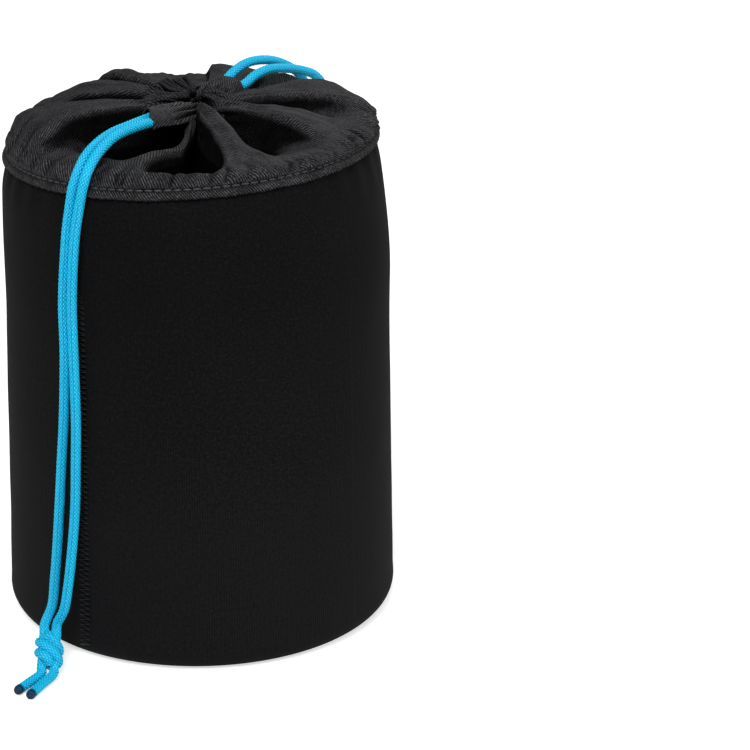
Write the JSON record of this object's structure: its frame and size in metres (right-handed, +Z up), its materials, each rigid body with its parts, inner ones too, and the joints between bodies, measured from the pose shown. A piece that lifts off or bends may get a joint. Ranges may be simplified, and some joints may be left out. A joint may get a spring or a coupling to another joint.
{
  "type": "lens pouch",
  "caption": "Soft cylindrical drawstring pouch: padded neoprene wall and base, a gathered twill collar that closes the mouth, and knotted cords hanging at front and back.",
  "frame": {"origin": "middle of the base, on the surface that the pouch stands on", "axes": "+Z up along the pouch, -Y towards the front cord"},
  "size_m": [0.126, 0.1894, 0.1729],
  "materials": {
    "neoprene": "matt black jersey-faced neoprene",
    "twill": "black diagonal twill",
    "thread": "black sewing thread",
    "cord": "bright blue braided cord",
    "cord_end": "heat-sealed cord end"
  },
  "bodies": {
    "pouch": {"body_panel": "neoprene", "base_disc": "neoprene", "side_seam_thread": "thread", "base_seam_thread": "thread", "collar_band": "twill", "collar_topstitch": "thread", "front_cord_left_drop": "cord", "front_cord_right_drop": "cord", "rear_cord_left_drop": "cord", "rear_cord_right_drop": "cord"},
    "gore_1": {"collar_gore_1": "twill", "front_cord_left_top": "cord", "front_cord_right_top": "cord"},
    "gore_2": {"collar_gore_2": "twill"},
    "gore_3": {"collar_gore_3": "twill"},
    "gore_4": {"collar_gore_4": "twill"},
    "gore_5": {"collar_gore_5": "twill", "rear_cord_left_top": "cord", "rear_cord_right_top": "cord"},
    "gore_6": {"collar_gore_6": "twill"},
    "gore_7": {"collar_gore_7": "twill"},
    "gore_8": {"collar_gore_8": "twill"},
    "tuck_1_right": {"collar_tuck_1_right": "twill"},
    "tuck_1_left": {"collar_tuck_1_left": "twill"},
    "tuck_2_right": {"collar_tuck_2_right": "twill"},
    "tuck_2_left": {"collar_tuck_2_left": "twill"},
    "tuck_3_right": {"collar_tuck_3_right": "twill"},
    "tuck_3_left": {"collar_tuck_3_left": "twill"},
    "tuck_4_right": {"collar_tuck_4_right": "twill"},
    "tuck_4_left": {"collar_tuck_4_left": "twill"},
    "tuck_5_right": {"collar_tuck_5_right": "twill"},
    "tuck_5_left": {"collar_tuck_5_left": "twill"},
    "tuck_6_right": {"collar_tuck_6_right": "twill"},
    "tuck_6_left": {"collar_tuck_6_left": "twill"},
    "tuck_7_right": {"collar_tuck_7_right": "twill"},
    "tuck_7_left": {"collar_tuck_7_left": "twill"},
    "tuck_8_right": {"collar_tuck_8_right": "twill"},
    "tuck_8_left": {"collar_tuck_8_left": "twill"},
    "front_cord_tail": {"front_cord_knot": "cord", "front_cord_left_end": "cord_end", "front_cord_right_end": "cord_end"},
    "rear_cord_tail": {"rear_cord_knot": "cord", "rear_cord_left_end": "cord_end", "rear_cord_right_end": "cord_end"}
  },
  "joints": [
    {"name": "mouth_open", "type": "hinge", "parent": "pouch", "child": "gore_1", "pos_m": [0.01319, -0.05494, 0.1598], "axis": [0.9724, 0.2334, 0], "range_deg": [0, 76], "deforming": ["front_cord_left_top", "front_cord_right_top"]},
    {"name": "gore_2_open", "type": "hinge", "parent": "pouch", "child": "gore_2", "pos_m": [0.04817, -0.02952, 0.1598], "axis": [0.5225, 0.8526, 0], "range_deg": [0, 76]},
    {"name": "gore_3_open", "type": "hinge", "parent": "pouch", "child": "gore_3", "pos_m": [0.05494, 0.01319, 0.1598], "axis": [-0.2334, 0.9724, 0], "range_deg": [0, 76]},
    {"name": "gore_4_open", "type": "hinge", "parent": "pouch", "child": "gore_4", "pos_m": [0.02952, 0.04817, 0.1598], "axis": [-0.8526, 0.5225, 0], "range_deg": [0, 76]},
    {"name": "gore_5_open", "type": "hinge", "parent": "pouch", "child": "gore_5", "pos_m": [-0.01319, 0.05494, 0.1598], "axis": [-0.9724, -0.2334, 0], "range_deg": [0, 76], "deforming": ["rear_cord_left_top", "rear_cord_right_top"]},
    {"name": "gore_6_open", "type": "hinge", "parent": "pouch", "child": "gore_6", "pos_m": [-0.04817, 0.02952, 0.1598], "axis": [-0.5225, -0.8526, 0], "range_deg": [0, 76]},
    {"name": "gore_7_open", "type": "hinge", "parent": "pouch", "child": "gore_7", "pos_m": [-0.05494, -0.01319, 0.1598], "axis": [0.2334, -0.9724, 0], "range_deg": [0, 76]},
    {"name": "gore_8_open", "type": "hinge", "parent": "pouch", "child": "gore_8", "pos_m": [-0.02952, -0.04817, 0.1598], "axis": [0.8526, -0.5225, 0], "range_deg": [0, 76]},
    {"name": "tuck_1_right_unfold", "type": "hinge", "parent": "gore_1", "child": "tuck_1_right", "pos_m": [0.02412, -0.05232, 0.1598], "axis": [0.1922, 0.798, -0.5712], "range_deg": [0, 35.12], "deforming": ["collar_tuck_1_right"]},
    {"name": "tuck_1_left_unfold", "type": "hinge", "parent": "gore_1", "child": "tuck_1_left", "pos_m": [0.00226, -0.05756, 0.1598], "axis": [0.5335, -0.6238, 0.5712], "range_deg": [0, 35.12], "deforming": ["collar_tuck_1_left"]},
    {"name": "tuck_2_right_unfold", "type": "hinge", "parent": "gore_2", "child": "tuck_2_right", "pos_m": [0.05405, -0.01994, 0.1598], "axis": [-0.4284, 0.7002, -0.5712], "range_deg": [0, 35.12], "deforming": ["collar_tuck_2_right"]},
    {"name": "tuck_2_left_unfold", "type": "hinge", "parent": "gore_2", "child": "tuck_2_left", "pos_m": [0.0423, -0.0391, 0.1598], "axis": [0.8183, -0.0638, 0.5712], "range_deg": [0, 35.12], "deforming": ["collar_tuck_2_left"]},
    {"name": "tuck_3_right_unfold", "type": "hinge", "parent": "gore_3", "child": "tuck_3_right", "pos_m": [0.05232, 0.02412, 0.1598], "axis": [-0.798, 0.1922, -0.5712], "range_deg": [0, 35.12], "deforming": ["collar_tuck_3_right"]},
    {"name": "tuck_3_left_unfold", "type": "hinge", "parent": "gore_3", "child": "tuck_3_left", "pos_m": [0.05756, 0.00226, 0.1598], "axis": [0.6238, 0.5335, 0.5712], "range_deg": [0, 35.12], "deforming": ["collar_tuck_3_left"]},
    {"name": "tuck_4_right_unfold", "type": "hinge", "parent": "gore_4", "child": "tuck_4_right", "pos_m": [0.01994, 0.05405, 0.1598], "axis": [-0.7002, -0.4284, -0.5712], "range_deg": [0, 35.12], "deforming": ["collar_tuck_4_right"]},
    {"name": "tuck_4_left_unfold", "type": "hinge", "parent": "gore_4", "child": "tuck_4_left", "pos_m": [0.0391, 0.0423, 0.1598], "axis": [0.0638, 0.8183, 0.5712], "range_deg": [0, 35.12], "deforming": ["collar_tuck_4_left"]},
    {"name": "tuck_5_right_unfold", "type": "hinge", "parent": "gore_5", "child": "tuck_5_right", "pos_m": [-0.02412, 0.05232, 0.1598], "axis": [-0.1922, -0.798, -0.5712], "range_deg": [0, 35.12], "deforming": ["collar_tuck_5_right"]},
    {"name": "tuck_5_left_unfold", "type": "hinge", "parent": "gore_5", "child": "tuck_5_left", "pos_m": [-0.00226, 0.05756, 0.1598], "axis": [-0.5335, 0.6238, 0.5712], "range_deg": [0, 35.12], "deforming": ["collar_tuck_5_left"]},
    {"name": "tuck_6_right_unfold", "type": "hinge", "parent": "gore_6", "child": "tuck_6_right", "pos_m": [-0.05405, 0.01994, 0.1598], "axis": [0.4284, -0.7002, -0.5712], "range_deg": [0, 35.12], "deforming": ["collar_tuck_6_right"]},
    {"name": "tuck_6_left_unfold", "type": "hinge", "parent": "gore_6", "child": "tuck_6_left", "pos_m": [-0.0423, 0.0391, 0.1598], "axis": [-0.8183, 0.0638, 0.5712], "range_deg": [0, 35.12], "deforming": ["collar_tuck_6_left"]},
    {"name": "tuck_7_right_unfold", "type": "hinge", "parent": "gore_7", "child": "tuck_7_right", "pos_m": [-0.05232, -0.02412, 0.1598], "axis": [0.798, -0.1922, -0.5712], "range_deg": [0, 35.12], "deforming": ["collar_tuck_7_right"]},
    {"name": "tuck_7_left_unfold", "type": "hinge", "parent": "gore_7", "child": "tuck_7_left", "pos_m": [-0.05756, -0.00226, 0.1598], "axis": [-0.6238, -0.5335, 0.5712], "range_deg": [0, 35.12], "deforming": ["collar_tuck_7_left"]},
    {"name": "tuck_8_right_unfold", "type": "hinge", "parent": "gore_8", "child": "tuck_8_right", "pos_m": [-0.01994, -0.05405, 0.1598], "axis": [0.7002, 0.4284, -0.5712], "range_deg": [0, 35.12], "deforming": ["collar_tuck_8_right"]},
    {"name": "tuck_8_left_unfold", "type": "hinge", "parent": "gore_8", "child": "tuck_8_left", "pos_m": [-0.0391, -0.0423, 0.1598], "axis": [-0.0638, -0.8183, 0.5712], "range_deg": [0, 35.12], "deforming": ["collar_tuck_8_left"]},
    {"name": "front_cord_draw", "type": "slide", "parent": "pouch", "child": "front_cord_tail", "axis": [0, 0.0599, 0.9982], "range_m": [0, 0.095], "deforming": ["front_cord_left_drop", "front_cord_right_drop"]},
    {"name": "rear_cord_draw", "type": "slide", "parent": "pouch", "child": "rear_cord_tail", "axis": [0, -0.0599, 0.9982], "range_m": [0, 0.095], "deforming": ["rear_cord_left_drop", "rear_cord_right_drop"]}
  ],
  "couplings": [
    {"joint": "gore_2_open", "follows": "mouth_open", "ratio": 1},
    {"joint": "gore_3_open", "follows": "mouth_open", "ratio": 1},
    {"joint": "gore_4_open", "follows": "mouth_open", "ratio": 1},
    {"joint": "gore_5_open", "follows": "mouth_open", "ratio": 1},
    {"joint": "gore_6_open", "follows": "mouth_open", "ratio": 1},
    {"joint": "gore_7_open", "follows": "mouth_open", "ratio": 1},
    {"joint": "gore_8_open", "follows": "mouth_open", "ratio": 1},
    {"joint": "tuck_1_right_unfold", "follows": "mouth_open", "ratio": 0.46204},
    {"joint": "tuck_1_left_unfold", "follows": "mouth_open", "ratio": 0.46204},
    {"joint": "tuck_2_right_unfold", "follows": "mouth_open", "ratio": 0.46204},
    {"joint": "tuck_2_left_unfold", "follows": "mouth_open", "ratio": 0.46204},
    {"joint": "tuck_3_right_unfold", "follows": "mouth_open", "ratio": 0.46204},
    {"joint": "tuck_3_left_unfold", "follows": "mouth_open", "ratio": 0.46204},
    {"joint": "tuck_4_right_unfold", "follows": "mouth_open", "ratio": 0.46204},
    {"joint": "tuck_4_left_unfold", "follows": "mouth_open", "ratio": 0.46204},
    {"joint": "tuck_5_right_unfold", "follows": "mouth_open", "ratio": 0.46204},
    {"joint": "tuck_5_left_unfold", "follows": "mouth_open", "ratio": 0.46204},
    {"joint": "tuck_6_right_unfold", "follows": "mouth_open", "ratio": 0.46204},
    {"joint": "tuck_6_left_unfold", "follows": "mouth_open", "ratio": 0.46204},
    {"joint": "tuck_7_right_unfold", "follows": "mouth_open", "ratio": 0.46204},
    {"joint": "tuck_7_left_unfold", "follows": "mouth_open", "ratio": 0.46204},
    {"joint": "tuck_8_right_unfold", "follows": "mouth_open", "ratio": 0.46204},
    {"joint": "tuck_8_left_unfold", "follows": "mouth_open", "ratio": 0.46204},
    {"joint": "front_cord_draw", "follows": "mouth_open", "m_per_rad": 0.071619},
    {"joint": "rear_cord_draw", "follows": "mouth_open", "m_per_rad": 0.071619}
  ]
}
